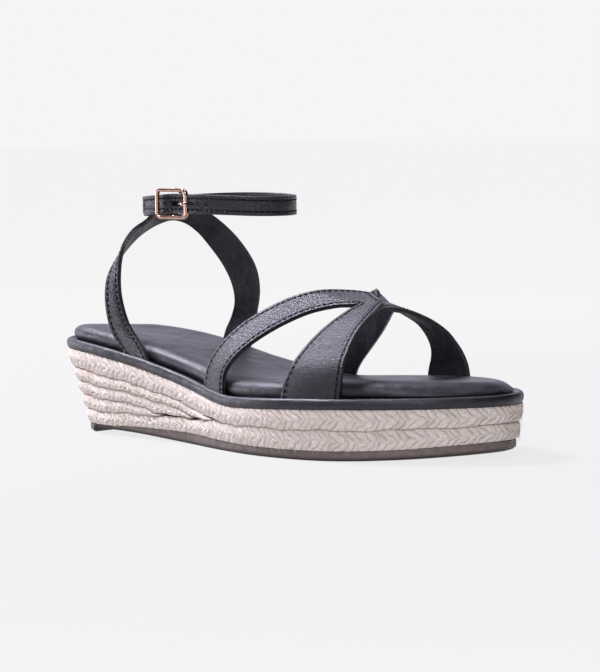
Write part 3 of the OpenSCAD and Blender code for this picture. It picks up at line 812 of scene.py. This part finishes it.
def arms(edges, meet, bow):
    """Two blocks of columns between four edge curves, and which cells exist. There are STEPS
    rows to a span of the control points, and the first SKIP rows, inside the rand, are left
    out. Between the arms there is one column of cells, which begins at control point "meet".
    The broad front arm bows out by "bow" at its foot, to follow the curve of the sole."""
    e = [smooth(c, STEPS)[SKIP:] for c in edges]
    rows, columns = len(e[0]), sum(ARM_COLUMNS)
    blocks = []
    for k, m in ((0, ARM_COLUMNS[0]), (2, ARM_COLUMNS[1])):
        w = np.linspace(0, 1, m)[None, :, None]
        blocks.append(e[k][:, None] * (1 - w) + e[k + 1][:, None] * w)
    foot = 1 - ease(((SKIP + np.arange(rows)) / STEPS - 2) / 5)
    w = np.linspace(0, 1, ARM_COLUMNS[1])
    blocks[1][..., 1] += bow * foot[:, None] * (4 * w * (1 - w))[None]
    keep = np.ones((rows - 1, columns - 1), bool)
    keep[: meet * STEPS - SKIP, ARM_COLUMNS[0] - 1] = False
    return blocks, keep


outer_edges = [
    [(-2.5, -35, 22), (-2, -35, 28), (-0.5, -34.6, 34), (2.5, -33, 40), (7, -30.2, 46), (13.5, -26.5, 52),
     (20.5, -21.5, 57), (28, -15, 61.5), (36, -7, 64.1), (44.5, 2, 63.9), (52.5, 6.5, 62.9)],
    [(13.5, -38.9, 20), (13.2, -38.9, 26), (14, -38.7, 32), (17, -36.8, 37.5), (21.5, -33.8, 42.5),
     (27, -29.8, 47.2), (34, -24, 52.2), (41.5, -17, 56.4), (50, -10.5, 58.7), (58.7, -6.5, 59.4),
     (59.3, 3, 61.8)],
    [(51, -42.5, 20), (51.6, -42.4, 26), (53.2, -41.6, 32), (55.2, -39.6, 37.5), (57, -36, 42.6),
     (58.6, -31.2, 47.5), (59.8, -25.4, 51.8), (60.6, -19, 55.3), (60.6, -12.5, 57.9), (60.3, -6.5, 59.4),
     (60.8, 2.3, 61.5)],
    [(78, -36.9, 21), (78.6, -36.7, 27), (79.4, -36.3, 33), (79.3, -34.8, 38.8), (78.6, -31.4, 43.6),
     (77.4, -27.2, 48), (76, -22, 51.8), (74.4, -16, 54.9), (72.5, -10.5, 57.1), (70, -5.5, 58.9),
     (68.4, -1.5, 59.8)]]
OUTER_MEET, INNER_MEET = 9, 8
blocks, keep = arms(outer_edges, OUTER_MEET, -0.9)
outer_strap = two_plies("outer_toe_strap", blocks, keep, -1, "vamp_lateral_leather",
                        "vamp_lateral_lining")

# %% [markdown]
# The inner toe strap is its counterpart from the inner edge of the sole. Its plate lies
# under the outer one, and the plate's rear corner stands up as a small lip.

# %% Inner toe strap
inner_edges = [
    [(1, 31, 20), (2, 31.1, 27), (5, 30.3, 34), (10.5, 28.4, 41), (17, 25.8, 47.5), (24.5, 22.8, 53.2),
     (32, 19.4, 57.8), (39, 16.2, 61), (45, 13.9, 63.1), (49.2, 12, 64.4), (53, 8.6, 61.7),
     (53.8, 3, 60.3)],
    [(13.5, 33.7, 20), (15.2, 33.8, 26.5), (20, 32, 31.5), (27, 29.5, 36.5), (34, 26.9, 41.2),
     (40.5, 24.1, 45.4), (46.5, 21.2, 49.5), (51.5, 18.6, 53), (55.8, 15.8, 55.9), (57.6, 10.5, 58.5),
     (58.7, 5.3, 59.2), (58.8, -0.5, 58.6)],
    [(49.5, 42, 20), (50.2, 41.7, 27), (52.2, 40.6, 32), (54.8, 38.9, 35.6), (56.8, 37, 39.2),
     (57.9, 34.6, 42.8), (58.5, 31.2, 46.8), (58.6, 26.3, 51), (57.9, 17.8, 55.6), (59.2, 10.7, 58.2),
     (60.3, 4.8, 58.9), (60.4, -1, 58.4)],
    [(72.8, 42, 20), (72.9, 41.8, 27.5), (72.9, 40.6, 33), (72.5, 38.2, 38), (71.9, 35.3, 42),
     (70.6, 32.4, 46), (68.6, 29, 49.3), (66.2, 25.4, 52), (63.6, 19.8, 54.7), (64, 11.8, 56.6),
     (66, 4, 57.4), (66, -2.2, 57.1)]]
blocks, keep = arms(inner_edges, INNER_MEET, 0.9)
inner_strap = two_plies("inner_toe_strap", blocks, keep, 1, "vamp_medial_leather",
                        "vamp_medial_lining")

# %% [markdown]
# The heel sling is one strap that leaves the sole on one side, twists as it climbs, passes
# behind the ankle strap and comes down the other side.

# %% Heel sling
sling_edges = [
    [(-45, -27.8, 29), (-47.8, -27.7, 35.5), (-53.5, -27.3, 42), (-59, -27.5, 48), (-62, -28, 55),
     (-63.7, -28.2, 62), (-64.7, -27.6, 69), (-65.6, -26, 76), (-66.2, -23, 82.5), (-67.2, -17, 87.8),
     (-67.3, -9.1, 91.8), (-69.1, -1.5, 96.6), (-71.8, 8, 99), (-71, 16.3, 98.6), (-64.8, 21.9, 94.6),
     (-60.6, 29.6, 88), (-54.6, 33.9, 80), (-48.4, 35.6, 70.5), (-45.8, 35.4, 60.5), (-46.4, 34, 50.5),
     (-47.6, 32, 41.5), (-47.5, 30.7, 35), (-47, 30.7, 29)],
    [(-60, -26.8, 31), (-63.2, -26.9, 37), (-68, -27.5, 42), (-71, -28.3, 48.5), (-72.4, -28.6, 55.5),
     (-73, -28.2, 62.5), (-73.3, -26.3, 68.5), (-74, -21.6, 74), (-73.4, -16, 80), (-73.2, -9.8, 84.8),
     (-73.4, -2.9, 88.2), (-73.8, 3.8, 90.2), (-74, 10, 91), (-73.1, 16.6, 89.6), (-70.8, 22, 85.8),
     (-68, 26.6, 79.4), (-62.5, 29, 71.6), (-57.6, 29.8, 63.5), (-56, 30.2, 56), (-58.4, 30.6, 49),
     (-62.5, 30.8, 42.5), (-65, 31.2, 36.5), (-65.5, 31.2, 30)]]


def band(edges, steps, across, trim):
    """One block of columns between two edge curves, trimmed by "trim" rows at each end."""
    e = [smooth(c, steps) for c in edges]
    e = [c[trim : len(c) - trim] for c in e]
    w = np.linspace(0, 1, across)[None, :, None]
    grid = e[0][:, None] * (1 - w) + e[1][:, None] * w
    return [grid], np.ones((len(e[0]) - 1, across - 1), bool)


blocks, keep = band(sling_edges, 8, 13, 3)
sling = two_plies("heel_sling", blocks, keep, 1, "sling_leather", "sling_lining")

# %% [markdown]
# ## Ankle strap
# One long strap starts in a fold round the buckle's bar, goes round the heel outside the
# sling, round the inner ankle and the front, back through the buckle, and ends in a free
# tip over its own start. It stands upright, so one centre line and a height are enough.

# %% Ankle strap
ankle_points = [
    (-43.1, -13.6, 99.4), (-50, -13.6, 99.1), (-59.5, -12.6, 98.5), (-68.8, -8.9, 97.7),
    (-75.2, -1.6, 97.2), (-76.7, 8.5, 97.2), (-74.6, 17.5, 97.6), (-66, 24.9, 98.2),
    (-53, 28.6, 98.6), (-38, 29.5, 98.7),
    (-22, 27.4, 98.5), (-8.5, 21.9, 98.2), (-1.4, 13.8, 98.1), (0.4, 5, 98.1), (-4.2, -4, 98.3),
    (-13.5, -10.9, 98.8), (-26.5, -15.2, 99.2), (-40.5, -16.5, 99.4), (-49.5, -16.4, 99.2),
    (-57.5, -15.6, 98.9), (-63.5, -14.1, 98.5)]
BUCKLE = np.array([-40.5, -16.5, 99.4])
PIVOT_IN, STRAP = 2.9, 1.9
ankle_curve, ankle_length = evenly(smooth(ankle_points, 16), 300)
left = np.linspace(0, ankle_length, 300)
half_height = 4.1 - 0.5 * ease((left - ankle_length + 22) / 22)
w = np.linspace(1, -1, 13)
upright = np.array([0, 0, 1.0])
ankle_grid = ankle_curve[:, None] + w[None, :, None] * half_height[:, None, None] * upright
ankle_keep = np.ones((299, 12), bool)
ankle = two_plies("ankle_strap", [ankle_grid], ankle_keep, 1, "ankle_strap_leather",
                  "ankle_strap_lining", 0.85, 0.1)
print("ankle strap length, mm:", round(ankle_length, 1))

# %% [markdown]
# The holes are punched with cylinders. They are the prong's slot and three round holes a
# finger's width apart. The cut is worked out once and stored in the mesh.

# %% Punched holes
def punch(obj, rods):
    """Cut a rod through obj at each (x, y, z, radius, half length along x)."""
    verts, faces = [], []
    for x, y, z, r, long in rods:
        angle = np.arange(24) / 24 * 2 * np.pi
        px, pz = r * np.cos(angle) + np.sign(np.cos(angle)) * long, r * np.sin(angle)
        base = len(verts)
        for dy in (-2.2, 2.2):
            verts += [(x + a, y + dy, z + b) for a, b in zip(px, pz)]
        turn = [(base + k, base + (k + 1) % 24) for k in range(24)]
        faces += [(a, b, b + 24, a + 24) for a, b in turn]
        faces += [tuple(base + k for k in reversed(range(24))), tuple(base + 24 + k for k in range(24))]
    tool = make_object("punch", verts, faces)
    m = obj.modifiers.new("punched", "BOOLEAN")
    m.object, m.operation, m.solver = tool, "DIFFERENCE", "EXACT"
    bpy.context.view_layer.update()
    cut = bpy.data.meshes.new_from_object(obj.evaluated_get(bpy.context.evaluated_depsgraph_get()))
    obj.modifiers.clear()
    obj.data = cut
    bpy.data.objects.remove(tool)
    print(obj.name, "punched:", len(cut.vertices), "points")


holes = [(-46.3, -16.5, 99.3, 0.8, 0.0), (-30.3, -15.8, 99.3, 0.8, 0.0), (-22.3, -14.2, 99.1, 0.8, 0.0),
         (-39.3, -16.5, 99.4, 1.1, 2.3)]
punch(ankle[0], holes)
punch(ankle[1], holes)

# %% [markdown]
# ## Strap leather
# The straps are a drier leather than the footbed: fine creases run across each strap and
# catch the light as short streaks. Inside the rim the stitching pulls the leather down into
# a narrow channel, and the shade in it is painted dark.

# %% Strap leather
INSET = 1.75


def strap_leather(name, base, roughness, streak):
    f = Finish(name)
    sheen(f)
    run, side, rim = f.split(f.fact("lay", "Vector"))
    xyz = f.place()
    streaks = f.noise(f.join(run * 1.5, side * 0.38, rim * 0.0), 1.0, 5.0, 0.7)
    pebble = f.cells(xyz, 1.0 / 0.5)
    off_seam = f.add("ShaderNodeMath", {"operation": "ABSOLUTE"}, {0: rim - INSET})
    channel = 1.0 - f.between(off_seam, 0.1, 0.42)
    tint = f.ramp(f.noise(xyz, 0.15, 4.0, 0.6) * 0.5 + streaks * 0.5, (0.32, base),
                  (0.72, tuple(2.2 * c for c in base[:3]) + (1,)))
    # painted shade: the stitching channel is blended towards near black
    tint = f.blend(channel * 0.6, tint, rgb(0.002, 0.002, 0.003))
    f.set(Base_Color=tint,
          Roughness=f.between(streaks, 0.3, 0.72, roughness - 0.1, roughness + 0.14) + channel * 0.25,
          Normal=f.bump(1.0 - channel, 0.0003, 0.8,
                        f.bump(f.between(pebble, 0.0, 0.2), 0.00006, 0.5,
                               f.bump(streaks, 0.0022, streak))))
    return f


strap_finish = strap_leather("strap_leather", rgb(0.0025, 0.0025, 0.004), 0.32, 0.3)
strap_finish.wear(outer_strap[0], inner_strap[0], sling[0], ankle[0])
lining_finish = smooth_leather("lining_leather", rgb(0.005, 0.005, 0.007), 0.5, 0.3)
lining_finish.wear(outer_strap[1], inner_strap[1], sling[1], ankle[1])

# %% [markdown]
# ## Stitching
# Each stitch is a short rounded bar of thread lying in the channel. A row of them follows
# the rim at a fixed distance, so its path is found in the strap's own grid and then lifted
# onto the leather. All stitches are one mesh.

# %% Stitches
def on_grid(data, i, j):
    """Value of a grid at fractional row i and column j, by blending its four neighbours."""
    i0 = np.clip(np.floor(i).astype(int), 0, data.shape[0] - 2)
    j0 = np.clip(np.floor(j).astype(int), 0, data.shape[1] - 2)
    s, t = (i - i0)[:, None], (j - j0)[:, None]
    return ((1 - s) * (1 - t) * data[i0, j0] + s * (1 - t) * data[i0 + 1, j0]
            + (1 - s) * t * data[i0, j0 + 1] + s * t * data[i0 + 1, j0 + 1])


def seam_path(strap, i, j):
    """Points and normals on a strap's outer face along rows i and columns j."""
    _, _, grid, normal, lift = strap
    top = grid + normal * lift[..., None]
    return on_grid(top, i, j), unit(on_grid(normal, i, j))


def column(strap, first, last, inset):
    """Column position, at every row, a fixed distance inside column "first" towards "last"."""
    grid = strap[2]
    width = np.linalg.norm(grid[:, last] - grid[:, first], axis=1)
    return first + (last - first) * np.clip(inset / width, 0, 0.5)


def stitches(name, paths, long=1.9, gap=0.55, thick=0.33):
    """Capsules along each path: rings of six points whose radius follows a half circle at
    both ends."""
    verts, faces, base = [], [], 0
    t = np.array([0.0, 0.12, 0.5, 0.88, 1.0])
    radius = thick * np.array([0.35, 0.85, 1.0, 0.85, 0.35])
    angle = np.arange(6) / 6 * 2 * np.pi
    one = grid_faces(5, 6, False, True)
    for points, normals in paths:
        both, length = evenly(np.concatenate([points, normals * 0.001], 1), 400)
        count = max(1, int(length / (long + gap)))
        at = (np.arange(count)[:, None] + 0.14 + t[None] * long / (long + gap)) / count * 399
        i = np.clip(np.floor(at).astype(int), 0, 398)
        s = (at - i)[..., None]
        q = both[i] * (1 - s) + both[i + 1] * s
        c, n = q[..., :3], unit(q[..., 3:])
        along = unit(c[:, -1:] - c[:, :1])
        side = unit(np.cross(n, along))
        lift = 0.06 - 0.2 * np.abs(2 * t - 1) ** 3
        c = c + n * lift[None, :, None]
        spoke = (side[:, :, None] * np.cos(angle)[None, None, :, None]
                 + n[:, :, None] * np.sin(angle)[None, None, :, None])
        P = c[:, :, None] + radius[None, :, None, None] * spoke
        verts.append(P.reshape(-1, 3))
        first = np.arange(count) * 30 + base
        faces.append((one[None] + first[:, None, None]).reshape(-1, 4))
        caps = np.array([[2, 3, 4, 5], [0, 1, 2, 5], [27, 26, 25, 24], [29, 28, 27, 24]])
        faces.append((caps[None] + first[:, None, None]).reshape(-1, 4))
        base += count * 30
    obj = make_object(name, np.concatenate(verts), [tuple(f) for f in np.concatenate(faces).tolist()])
    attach(obj, "sandal")
    return obj


def y_strap_paths(strap, meet, rows_left):
    """Both outer rims, the V between the arms, and a row across the plate's end."""
    grid = strap[2]
    rows = np.arange(len(grid), dtype=float)
    a, last = ARM_COLUMNS[0], sum(ARM_COLUMNS) - 1
    fork = meet * STEPS - SKIP
    rear, front = column(strap, 0, a - 1, INSET), column(strap, last, a, INSET)
    inner_a, inner_b = column(strap, a - 1, 0, INSET), column(strap, a, last, INSET)
    end = len(grid) - 1 - rows_left
    low = rows[:fork]
    v_i = np.concatenate([low, [fork + 1.2], low[::-1]])
    v_j = np.concatenate([inner_a[:fork], [a - 0.5], inner_b[:fork][::-1]])
    across = np.linspace(rear[-1], front[-1], 40)
    round_i = np.concatenate([rows[:end], np.full(40, float(end)), rows[:end][::-1]])
    round_j = np.concatenate([rear[:end], across, front[:end][::-1]])
    return [seam_path(strap, round_i, round_j), seam_path(strap, v_i, v_j)]


def band_paths(strap, rows_left=0, end_row=False):
    """Both rims, and with end_row also a row across the free end that joins them."""
    grid = strap[2]
    last = grid.shape[1] - 1
    rows = np.arange(len(grid) - rows_left, dtype=float)
    top, low = column(strap, 0, last, INSET)[: len(rows)], column(strap, last, 0, INSET)[: len(rows)]
    if not end_row:
        return [seam_path(strap, rows, top), seam_path(strap, rows, low)]
    i = np.concatenate([rows, np.full(12, rows[-1]), rows[::-1]])
    j = np.concatenate([top, np.linspace(top[-1], low[-1], 12), low[::-1]])
    return [seam_path(strap, i, j)]


thread = [
    stitches("outer_toe_stitches", y_strap_paths(outer_strap, OUTER_MEET, 2)),
    stitches("inner_toe_stitches", y_strap_paths(inner_strap, INNER_MEET, 2)),
    stitches("sling_stitches", band_paths(sling)),
    stitches("ankle_stitches", band_paths(ankle, 2, True), thick=0.24)]
thread_finish = Finish("waxed_thread", Base_Color=rgb(0.003, 0.003, 0.004), Roughness=0.7)
thread_finish.shader.inputs["Specular IOR Level"].default_value = 0.2
thread_finish.wear(*thread)

# %% [markdown]
# ## Buckle
# The buckle has its own space: u along the strap, n outwards and z upwards, with the centre
# bar on the axis. The frame is a flattened round bar carried round a rectangle with round
# corners. The centre bar drops behind the strap, and the prong is wrapped round it.

# %% Buckle frame
def from_buckle(u, n, z):
    """Row frame point of a buckle point."""
    return np.stack([BUCKLE[0] + u, BUCKLE[1] + PIVOT_IN - n, BUCKLE[2] + z], -1)


def swept(name, path, a, b, closed, section):
    """Section points (s along a, t along b) carried along a path; a and b per path point."""
    s, t = section
    P = path[:, None] + a[:, None] * s[None, :, None] + b[:, None] * t[None, :, None]
    return tube(name, P, closed)


def soft_box(width, depth, corner, count=24):
    """Superellipse: |s / half width|^corner + |t / half depth|^corner = 1."""
    angle = (np.arange(count) + 0.5) / count * 2 * np.pi
    c, s = np.cos(angle), np.sin(angle)
    power = 2 / corner
    return width / 2 * np.sign(c) * np.abs(c) ** power, depth / 2 * np.sign(s) * np.abs(s) ** power


def make_frame():
    bar, depth, corner = 1.5, 1.8, 1.9
    mid_u, mid_z = (19.8 - bar) / 2 - corner, (13 - bar) / 2 - corner
    q = np.linspace(0, np.pi / 2, 14)
    corners = [(mid_u, mid_z, 0), (-mid_u, mid_z, np.pi / 2), (-mid_u, -mid_z, np.pi),
               (mid_u, -mid_z, 1.5 * np.pi)]
    line = np.concatenate([[(cx + corner * np.cos(k + o), cz + corner * np.sin(k + o)) for k in q]
                           for cx, cz, o in corners])
    line, _ = evenly(line, 160, closed=True)
    along = unit(np.roll(line, -1, 0) - np.roll(line, 1, 0))
    outward = np.stack([along[:, 1], -along[:, 0]], 1)
    level = PIVOT_IN + STRAP / 2 + 0.25 + depth / 2
    path = from_buckle(line[:, 0], np.full(160, level), line[:, 1])
    a = np.stack([outward[:, 0], np.zeros(160), outward[:, 1]], 1)
    b = np.broadcast_to(np.array([0, -1.0, 0]), (160, 3))
    return swept("buckle_rim", path, a, b, True, soft_box(bar, depth, 2.8))


def make_bar():
    """Staple: out of one rail, behind the strap and into the other rail."""
    level = PIVOT_IN + STRAP / 2 + 0.6
    points = [(level, -5.75), (3.2, -5.75), (1.6, -5.7), (0.55, -5.45), (0.08, -4.9), (0, -4), (0, 0),
              (0, 4), (0.08, 4.9), (0.55, 5.45), (1.6, 5.7), (3.2, 5.75), (level, 5.75)]
    line, _ = evenly(smooth(points, 10), 90)
    along = unit(np.gradient(line, axis=0))
    path = from_buckle(np.zeros(90), line[:, 0], line[:, 1])
    a = np.broadcast_to(np.array([1.0, 0, 0]), (90, 3))
    b = np.stack([np.zeros(90), -along[:, 1], -along[:, 0]], 1)
    return swept("buckle_bar", path, a, b, False, soft_box(1.7, 1.7, 2.0))


buckle_rim, buckle_bar = make_frame(), make_bar()
for o in (buckle_rim, buckle_bar):
    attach(o, "frame")
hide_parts("buckle_frame")

# %% Prong and tab
def make_prong():
    """Strip once round the bar, then up through the strap's slot and onto the front rail."""
    turn = np.radians(np.linspace(45, 352, 60))
    wrap = np.stack([1.36 * np.cos(turn), 1.36 * np.sin(turn)], 1)
    top = PIVOT_IN + STRAP / 2
    arm = smooth([wrap[-1], (1.75, 1.2), (2.6, 2.7), (3.7, top + 0.25), (5.0, top + 0.85), (6.5, top + 1.5),
                  (7.9, top + 2.55), (9.4, top + 2.75), (10.7, top + 2.6)], 9)
    line, length = evenly(np.concatenate([wrap[:-1], arm]), 150)
    along = unit(np.gradient(line, axis=0))
    path = from_buckle(line[:, 0], line[:, 1], np.zeros(150))
    a = np.broadcast_to(np.array([0, 0, 1.0]), (150, 3))
    b = np.stack([-along[:, 1], -along[:, 0], np.zeros(150)], 1)
    s, t = soft_box(1.6, 0.78, 2.6)
    far = np.linspace(0, length, 150)
    thick = 1 + 0.45 * ease((far - 8) / 4) - 0.25 * ease((far - length + 1.2) / 1.2)
    deep = (t[None, :] * thick[:, None])[..., None]
    return tube("prong", path[:, None] + a[:, None] * s[None, :, None] + b[:, None] * deep)


def make_tab():
    """Leather strip folded round the bar, with a gap in the fold for the prong."""
    fold, half_wide, half_gap = 1.45, 3.8, 1.3
    bend = np.radians(np.linspace(90, -90, 21))
    line = np.concatenate([[(u, fold) for u in np.linspace(-9, -0.4, 22)],
                           np.stack([fold * np.cos(bend), fold * np.sin(bend)], 1),
                           [(u, -fold) for u in np.linspace(-0.4, -9, 22)]])
    rows = len(line)
    zs = np.concatenate([np.linspace(-half_wide, -half_gap, 6), np.linspace(half_gap, half_wide, 6)])
    grid = from_buckle(*[np.broadcast_to(v, (rows, 12)) for v in (line[:, :1], line[:, 1:], zs[None])])
    keep = np.ones((rows - 1, 11), bool)
    keep[(line[:-1, 0] > -3.4) & (line[1:, 0] > -3.4), 5] = False
    normal = unit(np.cross(np.gradient(grid, axis=0), np.gradient(grid, axis=1)))
    facts = {"lay": np.stack([np.broadcast_to(np.arange(rows)[:, None] * 0.4, (rows, 12)),
                              np.broadcast_to(zs[None] + 4, (rows, 12)),
                              np.broadcast_to((half_wide - np.abs(zs))[None] + 0.2, (rows, 12))], -1)}
    flat = np.zeros((rows, 12))
    return ply("buckle_fold", grid, normal, flat - 0.38, flat + 0.38, keep, facts, 0.15)


prong, tab = make_prong(), make_tab()
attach(prong, "prong")
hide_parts("buckle_prong")
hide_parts("buckle_tab")
strap_finish.wear(tab)

# %% [markdown]
# Rose gold plating: a metal whose colour is warm pink, polished but handled, so the gloss is
# broken up by faint smears.

# %% Rose gold
plating = Finish("rose_gold_plating", Metallic=1.0)
smear = plating.noise(plating.place(), 0.35, 3.0, 0.5)
plating.set(Base_Color=plating.ramp(smear, (0.3, rgb(0.48, 0.27, 0.20)), (0.7, rgb(0.78, 0.51, 0.42))),
            Roughness=plating.between(smear, 0.3, 0.7, 0.07, 0.15))
plating.wear(buckle_rim, buckle_bar, prong)

# %% [markdown]
# The wedge core and the platform board are carried over from CAD. Nobody sees them in a
# finished shoe, but they are still cork and fibre board.

# %% Hidden pieces
cork = Finish("cork", Roughness=0.85)
grains = cork.cells(cork.place(), 0.5, "F1")
cork.set(Base_Color=cork.ramp(grains, (0.1, rgb(0.46, 0.29, 0.17)), (0.8, rgb(0.25, 0.15, 0.08))))
cork.wear(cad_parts["wedge_core"])
board = Finish("fibre_board", Roughness=0.9)
board.set(Base_Color=board.ramp(board.noise(board.place(), 1.4, 6.0, 0.7), (0.35, rgb(0.28, 0.20, 0.14)),
                                (0.7, rgb(0.42, 0.32, 0.23))))
board.wear(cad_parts["platform_board"])
